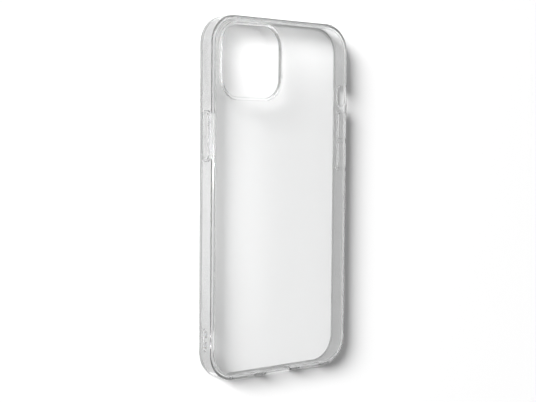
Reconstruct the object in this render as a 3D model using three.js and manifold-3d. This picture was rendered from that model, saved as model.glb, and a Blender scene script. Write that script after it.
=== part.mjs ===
// A clear phone case for a large flat-sided phone: a soft bumper frame round a hard back panel,
// with a raised guard round the camera window and pressable pads over the phone's side buttons.
//
// Millimetres, +Z up. The case lies on its open rim (z = 0) with its back on top. X runs across
// the case, +Y towards its top edge, and the origin is in the middle of the rim plane.

import * as THREE from 'three';
import { mergeVertices } from 'three/addons/utils/BufferGeometryUtils.js';
import Module from 'manifold-3d';

const wasm = await Module();
wasm.setup();

// ---------------------------------------------------------------- driving dimensions

const PHONE_WIDTH = 78.1;
const PHONE_LENGTH = 160.8;
const PHONE_DEPTH = 7.4;
const PHONE_CORNER = 12.0;

const WALL = 1.2; // side wall thickness; the cavity fits the phone snugly
const BACK = 1.0; // back panel thickness
const LIP_HEIGHT = 1.1; // how far the front lip stands past the screen
const LIP_OVERHANG = 0.4; // how far the lip reaches in over the screen's edge
const BACK_FILLET = 1.5; // rounding of the outer edge at the back
const RIM_FILLET = 0.5; // rounding of the outer edge at the rim

const GAP = 0.3; // clearance between neighbouring pieces
const LEDGE_WIDTH = 1.2; // ledge of the bumper under the back panel's thin edge
const LAP = 0.35; // thickness of that ledge, and of the panel's thin edge over it

const GUARD_WIDTH = 35.8; // outer outline of the raised camera guard
const GUARD_LENGTH = 35.0;
const GUARD_CORNER = 10.5;
const GUARD_X = -18.95;
const GUARD_Y = 61.4;
const GUARD_HEIGHT = 1.2; // above the back
const GUARD_FILLET = 0.45;
const GUARD_FLANGE = 0.4; // overlap of the guard's flange on the panel
const GUARD_RING = 1.4; // width of the guard's top

const PAD_HEIGHT = 3.8; // across the depth of the case
const PAD_CORNER = 1.2;
const PAD_PROUD = 0.4; // above the outer wall face
const PAD_THICK = 0.9;
const PAD_BEVEL = 0.2;
const POWER_LENGTH = 20.0;
const POWER_Y = 27.9;
const VOLUME_LENGTH = 12.6;
const VOLUME_UP_Y = 33.6;
const VOLUME_DOWN_Y = 19.6;

const SKIN_RIM = 0.6; // width of the flexible skin round a pad
const SKIN_THICK = 0.5;
const SKIN_RECESS = 0.1; // the skin sits this far below the outer wall face

const MUTE_SLOT = { length: 10.1, height: 5.0, corner: 2.4, y: 48.05 };
const PORT_SLOT = { length: 16.2, height: 6.0, corner: 2.9, x: 0 };
const SPEAKER_SLOT = { length: 13.8, height: 3.0, corner: 1.45, x: 19.6 };
const LANYARD_RECESS = { length: 10.0, height: 2.6, corner: 1.25, y: -62.7, depth: 0.4 };
const LANYARD_HOLE = { length: 2.8, height: 1.8, corner: 0.85, pitch: 4.8 };

const ARC_STEPS = 12; // straight segments to a quarter turn of a large corner (an even number)
const SMALL_ARC_STEPS = 4; // and of a small corner
const FILLET_STEPS = 3;

// ---------------------------------------------------------------- derived dimensions

const CASE_WIDTH = PHONE_WIDTH + 2 * WALL;
const CASE_LENGTH = PHONE_LENGTH + 2 * WALL;
const CASE_CORNER = PHONE_CORNER + WALL;
const DEPTH = LIP_HEIGHT + PHONE_DEPTH + BACK;
const SEAT_Z = DEPTH - BACK; // where the phone's back rests
const BUTTON_Z = LIP_HEIGHT + PHONE_DEPTH / 2; // middle of the phone's depth
const SEAM = BACK_FILLET; // inset of the bumper's edge at the seam
const PAD_MARGIN = GAP + SKIN_RIM + GAP; // from a pad's outline to the wall round it
const PAST = 2; // how far a cutter runs past the faces that it cuts

// ---------------------------------------------------------------- shapes and solids

function roundedRectangle(width, length, corner) {
  const x = width / 2 - corner;
  const y = length / 2 - corner;
  const shape = new THREE.Shape();
  shape.absarc(x, y, corner, 0, Math.PI / 2);
  shape.absarc(-x, y, corner, Math.PI / 2, Math.PI);
  shape.absarc(-x, -y, corner, Math.PI, 1.5 * Math.PI);
  shape.absarc(x, -y, corner, 1.5 * Math.PI, 2 * Math.PI);
  return shape;
}

// The case's outline, drawn in by an inset.
function caseOutline(inset) {
  return roundedRectangle(CASE_WIDTH - 2 * inset, CASE_LENGTH - 2 * inset, CASE_CORNER - inset);
}

// The camera guard's outline, drawn in by an inset, about its own middle.
function guardOutline(inset) {
  return roundedRectangle(GUARD_WIDTH - 2 * inset, GUARD_LENGTH - 2 * inset, GUARD_CORNER - inset);
}

function solidOf(geometry) {
  geometry.deleteAttribute('normal');
  geometry.deleteAttribute('uv');
  const merged = mergeVertices(geometry, 1e-4);
  const mesh = new wasm.Mesh({
    numProp: 3,
    vertProperties: new Float32Array(merged.attributes.position.array),
    triVerts: new Uint32Array(merged.index.array),
  });
  return new wasm.Manifold(mesh);
}

// An outline raised from low to high along Z, with both ends rounded by a bevel if one is given.
// THREE gives an arc two segments for each of its curveSegments.
function raised(outline, low, high, bevel, arcSteps) {
  const geometry = new THREE.ExtrudeGeometry(outline, {
    depth: high - low - 2 * bevel,
    curveSegments: arcSteps / 2,
    bevelEnabled: bevel > 0,
    bevelThickness: bevel,
    bevelSize: bevel,
    bevelOffset: -bevel,
    bevelSegments: FILLET_STEPS,
  });
  geometry.translate(0, 0, low + bevel);
  return geometry;
}

function slab(outline, low, high, bevel = 0) {
  return solidOf(raised(outline, low, high, bevel, ARC_STEPS));
}

// A rounded block lying in a side wall (side is +1 for +X, -1 for -X) between two distances
// from the case's middle plane.
function sideBlock(side, y, { length, height, corner }, near, far, bevel = 0) {
  const outline = roundedRectangle(length, height, corner);
  const geometry = raised(outline, near, far, bevel, SMALL_ARC_STEPS);
  const along = new THREE.Vector3(0, side, 0);
  const up = new THREE.Vector3(0, 0, 1);
  const out = new THREE.Vector3(side, 0, 0);
  geometry.applyMatrix4(new THREE.Matrix4().makeBasis(along, up, out));
  geometry.translate(0, y, BUTTON_Z);
  return solidOf(geometry);
}

// A rounded cutter through the bottom wall (the -Y wall).
function bottomCutter({ length, height, corner }, x) {
  const outline = roundedRectangle(length, height, corner);
  const outerFace = CASE_LENGTH / 2;
  const geometry = raised(outline, outerFace - WALL - PAST, outerFace + PAST, 0, SMALL_ARC_STEPS);
  geometry.rotateX(Math.PI / 2);
  geometry.translate(x, 0, BUTTON_Z);
  return solidOf(geometry);
}

function subtractAll(solid, cutters) {
  return cutters.reduce((rest, cutter) => rest.subtract(cutter), solid);
}

function grown({ length, height, corner }, by) {
  return { length: length + 2 * by, height: height + 2 * by, corner: corner + by };
}

// ---------------------------------------------------------------- buttons

const OUTER_FACE = CASE_WIDTH / 2;
const INNER_FACE = OUTER_FACE - WALL;
const POWER_PAD = { length: POWER_LENGTH, height: PAD_HEIGHT, corner: PAD_CORNER };
const VOLUME_PAD = { length: VOLUME_LENGTH, height: PAD_HEIGHT, corner: PAD_CORNER };

// Both volume pads together, which share one skin and one window in the wall.
const VOLUME_GROUP = {
  length: VOLUME_UP_Y - VOLUME_DOWN_Y + VOLUME_LENGTH,
  height: PAD_HEIGHT,
  corner: PAD_CORNER,
};
const VOLUME_GROUP_Y = (VOLUME_UP_Y + VOLUME_DOWN_Y) / 2;

function pad(side, y, outline) {
  const far = OUTER_FACE + PAD_PROUD;
  return sideBlock(side, y, outline, far - PAD_THICK, far, PAD_BEVEL);
}

// The flexible skin: a thin plate set into the wall's window, open round each pad.
function skin(side, y, outline, pads) {
  const far = OUTER_FACE - SKIN_RECESS;
  const plate = sideBlock(side, y, grown(outline, GAP + SKIN_RIM), far - SKIN_THICK, far);
  const openings = pads.map(([padY, padOutline]) =>
    sideBlock(side, padY, grown(padOutline, GAP), far - SKIN_THICK - PAST, far + PAST));
  return subtractAll(plate, openings);
}

function wallCutter(side, y, outline) {
  return sideBlock(side, y, outline, INNER_FACE - PAST, OUTER_FACE + PAST);
}

// ---------------------------------------------------------------- bumper frame

function lanyardCutters() {
  const floor = OUTER_FACE - LANYARD_RECESS.depth;
  const recess = sideBlock(-1, LANYARD_RECESS.y, LANYARD_RECESS, floor, OUTER_FACE + PAST);
  const holes = [-0.5, 0.5].map((place) =>
    wallCutter(-1, LANYARD_RECESS.y + place * LANYARD_HOLE.pitch, LANYARD_HOLE));
  return [recess, ...holes];
}

function bumperFrame() {
  const backRounded = slab(caseOutline(0), -2 * BACK_FILLET, DEPTH, BACK_FILLET);
  const rimRounded = slab(caseOutline(0), 0, DEPTH + 2 * RIM_FILLET, RIM_FILLET);
  const cavity = slab(caseOutline(WALL), LIP_HEIGHT, SEAT_Z);
  const mouth = slab(caseOutline(WALL + LIP_OVERHANG), -PAST, SEAT_Z);
  const panelRecess = slab(caseOutline(SEAM), SEAT_Z + LAP, DEPTH + PAST);
  const panelWindow = slab(caseOutline(WALL + LEDGE_WIDTH), LIP_HEIGHT, DEPTH + PAST);
  return subtractAll(backRounded.intersect(rimRounded), [
    cavity,
    mouth,
    panelRecess,
    panelWindow,
    wallCutter(-1, POWER_Y, grown(POWER_PAD, PAD_MARGIN)),
    wallCutter(1, VOLUME_GROUP_Y, grown(VOLUME_GROUP, PAD_MARGIN)),
    wallCutter(1, MUTE_SLOT.y, MUTE_SLOT),
    bottomCutter(PORT_SLOT, PORT_SLOT.x),
    bottomCutter(SPEAKER_SLOT, -SPEAKER_SLOT.x),
    bottomCutter(SPEAKER_SLOT, SPEAKER_SLOT.x),
    ...lanyardCutters(),
  ]);
}

// ---------------------------------------------------------------- back panel and camera guard

function atGuard(solid) {
  return solid.translate([GUARD_X, GUARD_Y, 0]);
}

function backPanel() {
  const thinEdge = slab(caseOutline(SEAM + GAP), DEPTH - LAP, DEPTH);
  const plate = slab(caseOutline(WALL + LEDGE_WIDTH + GAP), SEAT_Z, DEPTH);
  const window = atGuard(slab(guardOutline(GUARD_FLANGE), SEAT_Z - PAST, DEPTH + PAST));
  return thinEdge.add(plate).subtract(window);
}

function cameraGuard() {
  const top = DEPTH + GUARD_HEIGHT;
  const rounded = slab(guardOutline(0), SEAT_Z - GUARD_FILLET, top, GUARD_FILLET);
  const flangeSpace = slab(guardOutline(-PAST), DEPTH + GAP, top + PAST);
  const stem = slab(guardOutline(GUARD_FLANGE + GAP), SEAT_Z, top - GUARD_FILLET);
  const opening = slab(guardOutline(GUARD_RING), SEAT_Z - PAST, top + PAST);
  return atGuard(rounded.intersect(flangeSpace).add(stem).subtract(opening));
}

// ---------------------------------------------------------------- materials and meshes

const HARD_CLEAR = { color: 0xeef2f4, roughness: 0.05, metalness: 0, opacity: 0.3 };
const SOFT_CLEAR = { color: 0xe6eaec, roughness: 0.12, metalness: 0, opacity: 0.4 };

function namedMesh(name, solid, finish) {
  const { vertProperties, triVerts } = solid.getMesh();
  const geometry = new THREE.BufferGeometry();
  geometry.setAttribute('position', new THREE.BufferAttribute(vertProperties, 3));
  geometry.setIndex(new THREE.BufferAttribute(triVerts, 1));
  geometry.computeVertexNormals();
  const material = new THREE.MeshStandardMaterial({ ...finish, transparent: true });
  const mesh = new THREE.Mesh(geometry, material);
  mesh.name = name;
  return mesh;
}

const volumePads = [
  [VOLUME_UP_Y, VOLUME_PAD],
  [VOLUME_DOWN_Y, VOLUME_PAD],
];

const phoneCase = new THREE.Group();
phoneCase.add(
  namedMesh('bumper_frame', bumperFrame(), SOFT_CLEAR),
  namedMesh('back_panel', backPanel(), HARD_CLEAR),
  namedMesh('camera_guard', cameraGuard(), SOFT_CLEAR),
  namedMesh('power_button_skin', skin(-1, POWER_Y, POWER_PAD, [[POWER_Y, POWER_PAD]]), SOFT_CLEAR),
  namedMesh('power_button', pad(-1, POWER_Y, POWER_PAD), SOFT_CLEAR),
  namedMesh('volume_button_skin', skin(1, VOLUME_GROUP_Y, VOLUME_GROUP, volumePads), SOFT_CLEAR),
  namedMesh('volume_up_button', pad(1, VOLUME_UP_Y, VOLUME_PAD), SOFT_CLEAR),
  namedMesh('volume_down_button', pad(1, VOLUME_DOWN_Y, VOLUME_PAD), SOFT_CLEAR),
);

export default phoneCase;
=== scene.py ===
import math

import bmesh
import bpy
import numpy as np
from mathutils import Matrix, Vector


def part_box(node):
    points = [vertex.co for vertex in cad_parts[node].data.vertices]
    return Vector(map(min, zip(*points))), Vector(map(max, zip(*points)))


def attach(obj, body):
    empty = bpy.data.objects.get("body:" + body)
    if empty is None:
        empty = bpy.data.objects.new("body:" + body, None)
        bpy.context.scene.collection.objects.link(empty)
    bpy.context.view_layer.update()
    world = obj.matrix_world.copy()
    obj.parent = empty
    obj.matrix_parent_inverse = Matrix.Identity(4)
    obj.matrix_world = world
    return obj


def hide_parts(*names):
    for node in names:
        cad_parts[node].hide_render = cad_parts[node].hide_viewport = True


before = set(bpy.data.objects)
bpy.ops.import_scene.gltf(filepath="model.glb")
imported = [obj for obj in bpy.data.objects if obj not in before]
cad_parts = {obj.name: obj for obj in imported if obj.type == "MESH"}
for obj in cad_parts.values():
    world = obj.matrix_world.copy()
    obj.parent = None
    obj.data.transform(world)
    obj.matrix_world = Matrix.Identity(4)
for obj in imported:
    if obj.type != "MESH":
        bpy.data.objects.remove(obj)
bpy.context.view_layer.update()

# A clear phone case lying on its open rim, back up: a hard clear back panel, a soft clear bumper
# round it, a raised guard round the camera window, and three button pads with their skins.
# Shapes are worked out in millimetres about the frame's origin, and each finished mesh goes to
# metres. Stage, lamps and camera are in metres unless a comment says otherwise.

MM = 0.001


# ---------------------------------------------------------------- sizes

def box_mm(node):
    low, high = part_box(node)
    return np.array(low) / MM, np.array(high) / MM


BUMPER_LOW, BUMPER_HIGH = box_mm("bumper_frame")
PANEL_LOW, PANEL_HIGH = box_mm("back_panel")
GUARD_LOW, GUARD_HIGH = box_mm("camera_guard")

CASE_WIDTH, CASE_LENGTH, DEPTH = BUMPER_HIGH - BUMPER_LOW
SEAT_Z = PANEL_LOW[2]  # where the phone's back rests
WALL = 1.2
CASE_CORNER = 13.2
LIP_HEIGHT = 1.1
LIP_INSET = 1.6
LEDGE_INSET = 2.4  # inner edge of the bumper's ledge under the panel
LEDGE_HEIGHT = 0.38
LAP_Z = SEAT_Z + LEDGE_HEIGHT
SEAM = 1.5  # inset of the seam between bumper and panel
FIT = 0.05  # the fine gap left between pieces that are moulded together
CAP_INSET = 1.0  # where the flat middle of a face begins, inside its edge
PAST = 1.0  # how far a straight cutter runs past the faces that it cuts

GUARD_CORNER = 10.5
GUARD_RING = 1.4
GUARD_FLANGE = 0.4  # the panel reaches this far in under the guard

PAD_CORNER = 1.2
WINDOW_MARGIN = 1.2  # from a pad's outline to the wall round it
SKIN_MARGIN = 1.12  # from a pad's outline to its skin's outer edge
PAD_CLEARANCE = 0.1  # between a pad and its skin
PAD_CROWN = 0.04  # how far the edge of a pad's face lies below its middle

MUTE_SLOT = {"length": 10.1, "height": 5.0, "corner": 2.4, "at": 48.05}
PORT_SLOT = {"length": 16.2, "height": 6.0, "corner": 2.9, "at": 0.0}
SPEAKER_SLOT = {"length": 13.8, "height": 3.0, "corner": 1.45, "at": 19.6}
LANYARD_RECESS = {"length": 10.0, "height": 2.6, "corner": 1.25, "at": -62.7}
LANYARD_DEPTH = 0.4
LANYARD_BEVEL = 0.04  # the middle of the recess's rounded foot, from its bed and its wall
LANYARD_HOLE = {"length": 2.8, "height": 1.8, "corner": 0.85}
LANYARD_PITCH = 4.8

# Radii of the rounded edges, by where they are.
EDGE = 0.28  # the mouth of a slot through a wall
SMALL_EDGE = 0.15  # the mouth of a cord hole, and the foot of the cord recess
SKIN_EDGE = 0.12  # the mouth of a skin's opening
SEAM_EDGE = 0.07  # the bumper's edge at the seam
RIM_EDGE = 0.6
LIP_EDGE = 0.45
LIP_INNER_EDGE = 0.3
SEAT_FILLET = 0.5
CRISP_EDGE = 0.08
LAP_EDGE = 0.05
LAP_FOOT = 0.03
PANEL_EDGE = 0.09
PANEL_LAP_EDGE = 0.04
PANEL_SEAT_EDGE = 0.06
GUARD_OUTER_EDGE = 0.5
GUARD_INNER_EDGE = 0.6
GUARD_FOOT_EDGE = 0.1
GUARD_SEAT_EDGE = 0.2
PAD_BACK_EDGE = 0.12
PAD_FACE_EDGE = 0.28
SKIN_BACK_EDGE = 0.1
SKIN_FACE_EDGE = 0.15

# How finely curves are made, in straight segments.
CORNER_STEPS = 36
SMALL_STEPS = 12
ROUNDING_STEPS = 7
MOUTH_TURN = math.radians(80)  # how far a slot's mouth curls round before it opens out straight
MOUTH_RUN = 0.5  # length of that straight stretch
SHARP_ANGLE = math.radians(40)  # a crease sharper than this stays sharp

PAD_LOW, PAD_HIGH = box_mm("power_button")
BUTTON_Z = (PAD_LOW[2] + PAD_HIGH[2]) / 2
OUTER_FACE = CASE_WIDTH / 2
INNER_FACE = OUTER_FACE - WALL


# ---------------------------------------------------------------- outlines and sections

def outline(width, length, corner, steps=CORNER_STEPS):
    """Points round a rounded rectangle about the origin, as an (n, 2) array."""
    quarters = []
    for quarter in range(4):
        angle = np.linspace(0, math.pi / 2, steps + 1) + quarter * math.pi / 2
        across = 1 if quarter in (0, 3) else -1
        along = 1 if quarter in (0, 1) else -1
        x = across * (width / 2 - corner) + corner * np.cos(angle)
        y = along * (length / 2 - corner) + corner * np.sin(angle)
        quarters.append(np.stack([x, y], axis=1))
    return np.concatenate(quarters)


def case_outline(inset):
    return outline(CASE_WIDTH - 2 * inset, CASE_LENGTH - 2 * inset, CASE_CORNER - inset)


def guard_outline(inset):
    width, length = (GUARD_HIGH - GUARD_LOW)[:2]
    points = outline(width - 2 * inset, length - 2 * inset, GUARD_CORNER - inset)
    return points + (GUARD_LOW + GUARD_HIGH)[:2] / 2


def slot_outline(slot):
    """Gives the function from an inset to a small rounded rectangle's outline."""
    def at(inset):
        return outline(slot["length"] - 2 * inset, slot["height"] - 2 * inset,
                       slot["corner"] - inset, SMALL_STEPS)
    return at


def rounded(points, closed=True):
    """A section with rounded corners. Each point is (inset, height, radius of its corner)."""
    section = []
    for i, (x, y, radius) in enumerate(points):
        here = np.array([x, y])
        if radius == 0 or (not closed and i in (0, len(points) - 1)):
            section.append(here)
            continue
        before = np.array(points[i - 1][:2]) - here
        after = np.array(points[(i + 1) % len(points)][:2]) - here
        before /= np.linalg.norm(before)
        after /= np.linalg.norm(after)
        half = math.acos(np.clip(before @ after, -1, 1)) / 2
        middle = (before + after) / np.linalg.norm(before + after)
        centre = here + middle * radius / math.sin(half)
        start = here + before * radius / math.tan(half) - centre
        end = here + after * radius / math.tan(half) - centre
        turn = math.pi - 2 * half
        for share in np.linspace(0, 1, ROUNDING_STEPS + 1):
            swung = math.sin((1 - share) * turn) * start + math.sin(share * turn) * end
            section.append(centre + swung / math.sin(turn))
    return section


def flared_mouth(radius):
    """One rounded mouth of a hole, as (widening, height above the face) from inside the hole
    outwards. It leaves the face at a slant, so that a cutter crosses the face instead of lying
    in it."""
    turns = np.linspace(0, MOUTH_TURN, ROUNDING_STEPS + 1)
    points = [(radius * (1 - math.cos(t)), radius * (math.sin(t) - 1)) for t in turns]
    end, rise = points[-1]
    points.append((end + MOUTH_RUN * math.sin(MOUTH_TURN), rise + MOUTH_RUN * math.cos(MOUTH_TURN)))
    return points


def tunnel(near, far, radius=EDGE):
    """The section of a cutter right through a wall, which leaves both mouths rounded."""
    mouth = flared_mouth(radius)
    inner = [(-widening, near - rise) for widening, rise in reversed(mouth)]
    outer = [(-widening, far + rise) for widening, rise in mouth]
    return inner + outer


# ---------------------------------------------------------------- meshes

def mesh_from_rings(name, rings, closed):
    """A closed mesh through equal rings of points: a ring of rings, or a stack with two caps."""
    count = len(rings[0])
    faces = []
    for row in range(len(rings) if closed else len(rings) - 1):
        here, above = row * count, (row + 1) % len(rings) * count
        for k in range(count):
            beside = (k + 1) % count
            faces.append((here + k, here + beside, above + beside, above + k))
    if not closed:
        last = (len(rings) - 1) * count
        faces.append(tuple(reversed(range(count))))
        faces.append(tuple(range(last, last + count)))
    mesh = bpy.data.meshes.new(name)
    mesh.from_pydata([tuple(p) for p in np.concatenate(rings)], [], faces)
    shape = bmesh.new()
    shape.from_mesh(mesh)
    bmesh.ops.recalc_face_normals(shape, faces=shape.faces)
    shape.to_mesh(mesh)
    shape.free()
    return mesh


def swept(name, section, outline_at, closed=True):
    """A section of (inset, height) carried round an outline."""
    rings = []
    for inset, height in section:
        points = outline_at(inset)
        rings.append(np.column_stack([points, np.full(len(points), height)]))
    return mesh_from_rings(name, rings, closed)


def facing(along, out, at):
    """The matrix that stands a piece made flat in a wall: its length goes along, its height up
    the wall, and its thickness out of it."""
    turned = Matrix((along, (0, 0, 1), out)).transposed()
    return Matrix.Translation(at) @ turned.to_4x4()


def in_side_wall(mesh, side, y):
    mesh.transform(facing((0, side, 0), (side, 0, 0), (0, y, BUTTON_Z)))
    return mesh


def in_bottom_wall(mesh, x):
    mesh.transform(facing((1, 0, 0), (0, -1, 0), (x, 0, BUTTON_Z)))
    return mesh


def cut(mesh, cutters):
    """mesh less all the cutters."""
    body = bpy.data.objects.new(mesh.name, mesh)
    tools = [bpy.data.objects.new(cutter.name, cutter) for cutter in cutters]
    for made in [body, *tools]:
        bpy.context.scene.collection.objects.link(made)
    for tool in tools:
        boolean = body.modifiers.new(tool.name, "BOOLEAN")
        boolean.operation = "DIFFERENCE"
        boolean.solver = "EXACT"
        boolean.object = tool
    result = bpy.data.meshes.new_from_object(
        body.evaluated_get(bpy.context.evaluated_depsgraph_get()))
    result.name = mesh.name
    for made in [body, *tools]:
        bpy.data.objects.remove(made)
    return result


# ---------------------------------------------------------------- bumper, panel and guard

def grown(slot, by):
    return {**slot, "length": slot["length"] + 2 * by, "height": slot["height"] + 2 * by,
            "corner": slot["corner"] + by}


def pad_of(node):
    """A button pad's outline and place, from its CAD node."""
    low, high = box_mm(node)
    return {"length": high[1] - low[1], "height": high[2] - low[2], "corner": PAD_CORNER,
            "at": (low[1] + high[1]) / 2}


POWER_PAD = pad_of("power_button")
VOLUME_PADS = {"up": pad_of("volume_up_button"), "down": pad_of("volume_down_button")}


def volume_group():
    """Both volume pads together, which share a window and a skin."""
    up, down = VOLUME_PADS["up"], VOLUME_PADS["down"]
    return {**up, "length": up["at"] - down["at"] + up["length"],
            "at": (up["at"] + down["at"]) / 2}


def side_cutter(slot, side):
    cutter = swept("cutter", tunnel(INNER_FACE, OUTER_FACE), slot_outline(slot), closed=False)
    return in_side_wall(cutter, side, slot["at"])


def bottom_cutter(slot, x):
    faces = CASE_LENGTH / 2 - WALL, CASE_LENGTH / 2
    cutter = swept("cutter", tunnel(*faces), slot_outline(slot), closed=False)
    return in_bottom_wall(cutter, x)


def lanyard_cutters():
    """The shallow recess in the side wall for a cord, and the two holes through its bed."""
    bed = OUTER_FACE - LANYARD_DEPTH
    foot = [(SMALL_EDGE, bed), (LANYARD_BEVEL, bed + LANYARD_BEVEL), (0, bed + SMALL_EDGE)]
    # The mouth's first point is left out, because it lies deeper than the top of the foot.
    rim = [(-widening, OUTER_FACE + rise) for widening, rise in flared_mouth(EDGE)[1:]]
    recess = swept("cutter", foot + rim, slot_outline(LANYARD_RECESS), closed=False)
    yield in_side_wall(recess, -1, LANYARD_RECESS["at"])
    for place in (-0.5, 0.5):
        hole = swept("cutter", tunnel(INNER_FACE, bed, SMALL_EDGE), slot_outline(LANYARD_HOLE),
                     closed=False)
        yield in_side_wall(hole, -1, LANYARD_RECESS["at"] + place * LANYARD_PITCH)


def bumper_mesh():
    section = rounded([
        (SEAM, DEPTH, SEAM_EDGE),
        (0, DEPTH, SEAM - SEAM_EDGE),  # the back edge, rounded right up to the seam
        (0, 0, RIM_EDGE),
        (LIP_INSET, 0, LIP_EDGE),
        (LIP_INSET, LIP_HEIGHT, LIP_INNER_EDGE),
        (WALL, LIP_HEIGHT, CRISP_EDGE),
        (WALL, SEAT_Z, SEAT_FILLET),
        (LEDGE_INSET, SEAT_Z, CRISP_EDGE),
        (LEDGE_INSET, LAP_Z, LAP_EDGE),
        (SEAM, LAP_Z, LAP_FOOT),
    ])
    return cut(swept("bumper", section, case_outline), [
        side_cutter(grown(POWER_PAD, WINDOW_MARGIN), -1),
        side_cutter(grown(volume_group(), WINDOW_MARGIN), 1),
        side_cutter(MUTE_SLOT, 1),
        bottom_cutter(PORT_SLOT, PORT_SLOT["at"]),
        bottom_cutter(SPEAKER_SLOT, -SPEAKER_SLOT["at"]),
        bottom_cutter(SPEAKER_SLOT, SPEAKER_SLOT["at"]),
        *lanyard_cutters(),
    ])


def panel_mesh():
    edge, step = SEAM + FIT, LEDGE_INSET + FIT
    section = rounded([
        (edge + CAP_INSET, DEPTH, 0),
        (edge, DEPTH, PANEL_EDGE),
        (edge, LAP_Z + FIT, PANEL_LAP_EDGE),
        (step, LAP_Z + FIT, PANEL_LAP_EDGE),
        (step, SEAT_Z, PANEL_SEAT_EDGE),
        (step + CAP_INSET, SEAT_Z, 0),
    ], closed=False)
    window = swept("cutter", [(GUARD_FLANGE, SEAT_Z - PAST), (GUARD_FLANGE, DEPTH + PAST)],
                   guard_outline, closed=False)
    return cut(swept("panel", section, case_outline, closed=False), [window])


def guard_mesh():
    stem = GUARD_FLANGE + FIT
    section = rounded([
        (0, GUARD_HIGH[2], GUARD_OUTER_EDGE),
        (0, DEPTH + FIT, GUARD_FOOT_EDGE),
        (stem, DEPTH + FIT, LAP_FOOT),
        (stem, SEAT_Z, CRISP_EDGE),
        (GUARD_RING, SEAT_Z, GUARD_SEAT_EDGE),
        (GUARD_RING, GUARD_HIGH[2], GUARD_INNER_EDGE),
    ])
    return swept("guard", section, guard_outline)


# ---------------------------------------------------------------- button pads and skins

def wall_span(node):
    """How far a node in a side wall reaches from the middle of the case: near and far side."""
    low, high = box_mm(node)
    return sorted(abs(x) for x in (low[0], high[0]))


def pad_mesh(node, slot, side):
    near, far = wall_span(node)
    section = rounded([
        (CAP_INSET, near, 0),
        (0, near, PAD_BACK_EDGE),
        (0, far - PAD_CROWN, PAD_FACE_EDGE),
        (CAP_INSET, far, 0),
    ], closed=False)
    return in_side_wall(swept(node, section, slot_outline(slot), closed=False), side, slot["at"])


def skin_mesh(node, group, pads, side):
    near, far = wall_span(node)
    section = rounded([
        (CAP_INSET, near, 0),
        (0, near, SKIN_BACK_EDGE),
        (0, far, SKIN_FACE_EDGE),
        (CAP_INSET, far, 0),
    ], closed=False)
    plate = swept(node, section, slot_outline(grown(group, SKIN_MARGIN)), closed=False)
    in_side_wall(plate, side, group["at"])
    mouth = tunnel(near, far, SKIN_EDGE)
    openings = []
    for pad in pads:
        opening = swept("cutter", mouth, slot_outline(grown(pad, PAD_CLEARANCE)), closed=False)
        openings.append(in_side_wall(opening, side, pad["at"]))
    return cut(plate, openings)


# ---------------------------------------------------------------- materials

class Nodes:
    """Adds nodes to a material and links them, with short calls."""

    def __init__(self, name):
        self.material = bpy.data.materials.new(name)
        self.material.use_nodes = True
        self.tree = self.material.node_tree
        self.tree.nodes.clear()

    def add(self, kind, settings=None, **inputs):
        node = self.tree.nodes.new("ShaderNode" + kind)
        for key, value in (settings or {}).items():
            setattr(node, key, value)
        for key, value in inputs.items():
            socket = node.inputs[key.replace("_", " ")]
            if isinstance(value, bpy.types.NodeSocket):
                self.link(value, socket)
            else:
                socket.default_value = value
        return node

    def link(self, output, socket):
        self.tree.links.new(output, socket)

    def blend(self, factor, first, second):
        """A colour that goes from the first to the second as the factor goes from 0 to 1."""
        mixed = self.add("Mix", {"data_type": "RGBA"})
        self.link(factor, mixed.inputs["Factor"])
        mixed.inputs["A"].default_value = (*first, 1)
        mixed.inputs["B"].default_value = (*second, 1)
        return mixed.outputs["Result"]


SMEAR_SCALE = 90.0  # the scales are in features for each metre
SMEAR_RANGE = (0.35, 0.75)  # the noise that counts as no smear and as a full one
RIPPLE_SCALE = 140.0
RIPPLE_DEPTH = 0.0004  # metres
GRAIN_SCALE = 1800.0
GRAIN_DEPTH = 0.00002  # metres
EDGE_ON = 0.35  # how widely a wall counts as seen edge on; 0.5 is even


def clear_gloss(make, smears, roughness):
    """Polish that turns duller where the smears are."""
    gloss = make.add("MapRange", Value=smears)
    gloss.inputs["From Min"].default_value = SMEAR_RANGE[0]
    gloss.inputs["From Max"].default_value = SMEAR_RANGE[1]
    gloss.inputs["To Min"].default_value = roughness[0]
    gloss.inputs["To Max"].default_value = roughness[1]
    return gloss.outputs["Result"]


def moulded_relief(make, place, ripple):
    """The broad ripple and the fine grain that a mould leaves."""
    waves = make.add("TexNoise", Vector=place, Scale=RIPPLE_SCALE, Detail=1.0)
    grain = make.add("TexNoise", Vector=place, Scale=GRAIN_SCALE, Detail=2.0)
    broad = make.add("Bump", Strength=ripple[0], Distance=RIPPLE_DEPTH,
                     Height=waves.outputs["Fac"])
    fine = make.add("Bump", Strength=ripple[1], Distance=GRAIN_DEPTH, Height=grain.outputs["Fac"],
                    Normal=broad.outputs["Normal"])
    return fine.outputs["Normal"]


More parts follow.
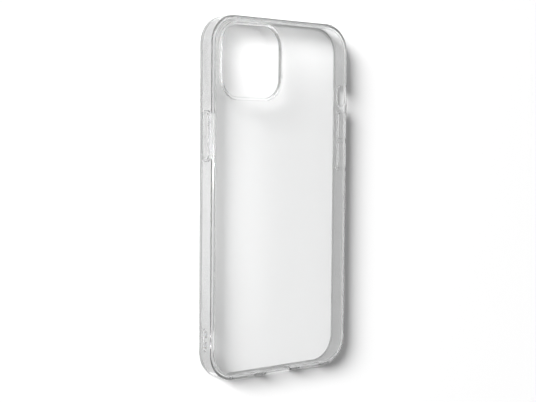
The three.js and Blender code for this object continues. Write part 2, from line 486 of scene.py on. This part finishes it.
def clear_plastic(name, tint, ior, clarity, roughness, ripple, absorbs, shade):
    """A clear moulded plastic: polished, with faint smears in its gloss and a faint ripple left
    by the mould, darker where it is thick. It bends what the camera sees through it. Lamplight
    and light scattered by the floor go straight through, dimmed to the shade's two colours:
    face on, then edge on."""
    make = Nodes(name)
    place = make.add("TexCoord").outputs["Object"]
    smears = make.add("TexNoise", Vector=place, Scale=SMEAR_SCALE, Detail=4.0, Roughness=0.6)
    smear = smears.outputs["Fac"]
    body = make.add("BsdfPrincipled", Roughness=clear_gloss(make, smear, roughness), IOR=ior,
                    Normal=moulded_relief(make, place, ripple))
    body.inputs["Transmission Weight"].default_value = clarity
    make.link(make.blend(smear, *tint), body.inputs["Base Color"])

    rim = make.add("LayerWeight", Blend=EDGE_ON)
    through = make.add("BsdfTransparent", Color=make.blend(rim.outputs["Facing"], *shade))
    path = make.add("LightPath")
    surface = body
    for kind in ("Is Diffuse Ray", "Is Shadow Ray"):
        mixed = make.add("MixShader")
        make.link(path.outputs[kind], mixed.inputs[0])
        make.link(surface.outputs[0], mixed.inputs[1])
        make.link(through.outputs[0], mixed.inputs[2])
        surface = mixed
    volume = make.add("VolumeAbsorption", Color=(*absorbs[0], 1), Density=absorbs[1])
    output = make.add("OutputMaterial")
    make.link(surface.outputs[0], output.inputs["Surface"])
    make.link(volume.outputs[0], output.inputs["Volume"])
    return make.material


def grey(value):
    return (value, value, value)


SOFT = {
    "tint": ((0.99, 0.991, 0.991), (0.975, 0.977, 0.977)),
    "ior": 1.5,
    "clarity": 0.96,
    "roughness": (0.03, 0.08),
    "ripple": (0.005, 0.015),
    "absorbs": ((0.8, 0.81, 0.81), 120.0),
}
HARD_CLEAR = clear_plastic(
    "hard_clear", tint=((0.895, 0.898, 0.898), (0.88, 0.883, 0.883)), ior=1.55, clarity=0.97,
    roughness=(0.015, 0.05), ripple=(0.004, 0.012), absorbs=((0.84, 0.85, 0.85), 60.0),
    shade=(grey(0.965), grey(0.92)))
SOFT_CLEAR = clear_plastic("soft_clear", shade=(grey(0.48), grey(0.3)), **SOFT)
FITTING_CLEAR = clear_plastic("fitting_clear", shade=(grey(0.86), grey(0.6)), **SOFT)


# ---------------------------------------------------------------- pieces

def piece(name, mesh, material, slot, body, *nodes):
    """A finished piece: its mesh in metres with smooth shading, on its body, for its CAD nodes."""
    mesh.name = name
    mesh.transform(Matrix.Scale(MM, 4))
    mesh.materials.clear()
    mesh.materials.append(material)
    mesh.shade_smooth()
    mesh.set_sharp_from_angle(angle=SHARP_ANGLE)
    made = bpy.data.objects.new(name, mesh)
    bpy.context.scene.collection.objects.link(made)
    normals = made.modifiers.new("normals", "WEIGHTED_NORMAL")
    normals.keep_sharp = True
    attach(made, body)
    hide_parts(*nodes)


piece("bumper", bumper_mesh(), SOFT_CLEAR, "soft_clear", "case_shell", "bumper_frame")
piece("panel", panel_mesh(), HARD_CLEAR, "hard_clear", "case_shell", "back_panel")
piece("guard", guard_mesh(), FITTING_CLEAR, "soft_clear", "case_shell", "camera_guard")
piece("power_skin", skin_mesh("power_button_skin", POWER_PAD, [POWER_PAD], -1), SOFT_CLEAR,
      "soft_clear", "case_shell", "power_button_skin")
piece("volume_skin", skin_mesh("volume_button_skin", volume_group(), VOLUME_PADS.values(), 1),
      SOFT_CLEAR, "soft_clear", "case_shell", "volume_button_skin")
piece("power_pad", pad_mesh("power_button", POWER_PAD, -1), SOFT_CLEAR, "soft_clear",
      "power_pad", "power_button")
for which, slot_size in VOLUME_PADS.items():
    piece(f"volume_{which}_pad", pad_mesh(f"volume_{which}_button", slot_size, 1), SOFT_CLEAR,
          "soft_clear", f"volume_{which}_pad", f"volume_{which}_button")


# ---------------------------------------------------------------- floor, light and camera

FLOOR_GREYS = (0.9, 0.91)
FLOOR_HALF = 3.0  # from its middle to each side
FLOOR_DROP = 0.0001  # how far it lies below the case's rim


def floor_material():
    make = Nodes("floor")
    place = make.add("TexCoord").outputs["Object"]
    cloud = make.add("TexNoise", Vector=place, Scale=6.0, Detail=2.0).outputs["Fac"]
    body = make.add("BsdfPrincipled", Roughness=0.7)
    make.link(make.blend(cloud, *map(grey, FLOOR_GREYS)), body.inputs["Base Color"])
    output = make.add("OutputMaterial")
    make.link(body.outputs[0], output.inputs["Surface"])
    return make.material


def floor():
    mesh = bpy.data.meshes.new("floor")
    signs = [(-1, -1), (1, -1), (1, 1), (-1, 1)]
    mesh.from_pydata([(x * FLOOR_HALF, y * FLOOR_HALF, -FLOOR_DROP) for x, y in signs],
                     [], [(0, 1, 2, 3)])
    mesh.materials.append(floor_material())
    made = bpy.data.objects.new("floor", mesh)
    bpy.context.scene.collection.objects.link(made)


def area_light(name, direction, distance, size, brightness):
    """A round lamp aimed at the origin, which can't be seen, even mirrored or through plastic. Its
    brightness is the share of full white it gives to a level white floor."""
    away = Vector(direction).normalized()
    light = bpy.data.lights.new(name, "AREA")
    light.shape = "DISK"
    light.size = size
    light.energy = brightness * math.pi ** 2 * distance ** 2 / away.z
    made = bpy.data.objects.new(name, light)
    bpy.context.scene.collection.objects.link(made)
    made.location = away * distance
    made.rotation_mode = "QUATERNION"
    made.rotation_quaternion = away.to_track_quat("Z", "Y")
    made.visible_camera = False
    made.visible_glossy = False
    made.visible_transmission = False


POOL_HEIGHT = 0.9
POOL_LAMP_RADIUS = 0.03
LEFT_POOL_GAP = 13.75  # from the case's left face out to the middle of the pool, in millimetres
TOP_POOL_GAP = 6.4  # and from its top face
TOP_POOL_X = 4.0


def pool_light(name, x, y, across, along, brightness):
    """A lamp straight above the floor. Its light fills an ellipse on the floor, across by along
    from its middle, and fades out evenly to nothing at the ellipse's edge. Its brightness is the
    share of full white it adds at the middle. Places and sizes are in millimetres."""
    light = bpy.data.lights.new(name, "SPOT")
    light.spot_size = 2 * math.atan(across * MM / POOL_HEIGHT)
    light.spot_blend = 1.0
    light.shadow_soft_size = POOL_LAMP_RADIUS
    light.energy = brightness * 4 * math.pi ** 2 * POOL_HEIGHT ** 2
    made = bpy.data.objects.new(name, light)
    bpy.context.scene.collection.objects.link(made)
    made.location = (x * MM, y * MM, POOL_HEIGHT)
    made.scale.y = along / across


SKY_TURN = 0.55  # the height of a direction, as a sine, above which the sky is evenly bright


def sky(fill, above, horizon, backdrop):
    """A pale studio round the case. What the case mirrors or bends into view is bright above and
    dark towards the horizon, which draws its edges. The floor gets only a weak fill light, and
    the backdrop is pale."""
    world = bpy.data.worlds.new("studio")
    world.use_nodes = True
    tree = world.node_tree
    background = tree.nodes["Background"]
    background.inputs["Color"].default_value = (1, 1, 1, 1)
    place = tree.nodes.new("ShaderNodeTexCoord")
    split = tree.nodes.new("ShaderNodeSeparateXYZ")
    tree.links.new(place.outputs["Generated"], split.inputs[0])
    height = tree.nodes.new("ShaderNodeMapRange")
    height.interpolation_type = "SMOOTHSTEP"
    tree.links.new(split.outputs["Z"], height.inputs["Value"])
    height.inputs["From Min"].default_value = 0.0
    height.inputs["From Max"].default_value = SKY_TURN
    height.inputs["To Min"].default_value = horizon
    height.inputs["To Max"].default_value = above
    path = tree.nodes.new("ShaderNodeLightPath")
    strength = height.outputs["Result"]
    for kind, value in (("Is Camera Ray", backdrop), ("Is Diffuse Ray", fill)):
        pick = tree.nodes.new("ShaderNodeMix")
        tree.links.new(path.outputs[kind], pick.inputs["Factor"])
        tree.links.new(strength, pick.inputs["A"])
        pick.inputs["B"].default_value = value
        strength = pick.outputs["Result"]
    tree.links.new(strength, background.inputs["Strength"])
    bpy.context.scene.world = world


# The camera was fitted to the outline of the phone that lies beside the case in the photo.
CAMERA_AT = Vector((-0.3153, 0.0244, 0.39085))
CAMERA_AIM = Vector((-0.00867, -0.00136, 0.0095))
CAMERA_ROLL = math.radians(0.43)
CAMERA_LENS = 72.13  # millimetres
SENSOR_WIDTH = 36.0  # millimetres


def camera():
    lens = bpy.data.cameras.new("camera")
    lens.lens = CAMERA_LENS
    lens.sensor_width = SENSOR_WIDTH
    lens.clip_start = 0.01
    made = bpy.data.objects.new("camera", lens)
    bpy.context.scene.collection.objects.link(made)
    back = (CAMERA_AT - CAMERA_AIM).normalized()
    right = Vector((0, 1, 0)).cross(back).normalized()
    up = back.cross(right)
    turned = Matrix.Rotation(CAMERA_ROLL, 3, back)
    axes = Matrix((turned @ right, turned @ up, back)).transposed()
    made.matrix_world = Matrix.Translation(CAMERA_AT) @ axes.to_4x4()
    bpy.context.scene.camera = made


floor()
area_light("key", direction=(-0.8, 0.34, 0.45), distance=15.0, size=6.5, brightness=1.08)
pool_light("left_fill", -OUTER_FACE - LEFT_POOL_GAP, 0.0, across=42.0, along=120.0,
           brightness=0.62)
pool_light("top_fill", TOP_POOL_X, CASE_LENGTH / 2 + TOP_POOL_GAP, across=58.0, along=24.0,
           brightness=0.8)
sky(fill=0.08, above=0.9, horizon=0.2, backdrop=0.93)
camera()
bpy.context.scene.view_settings.view_transform = "Standard"
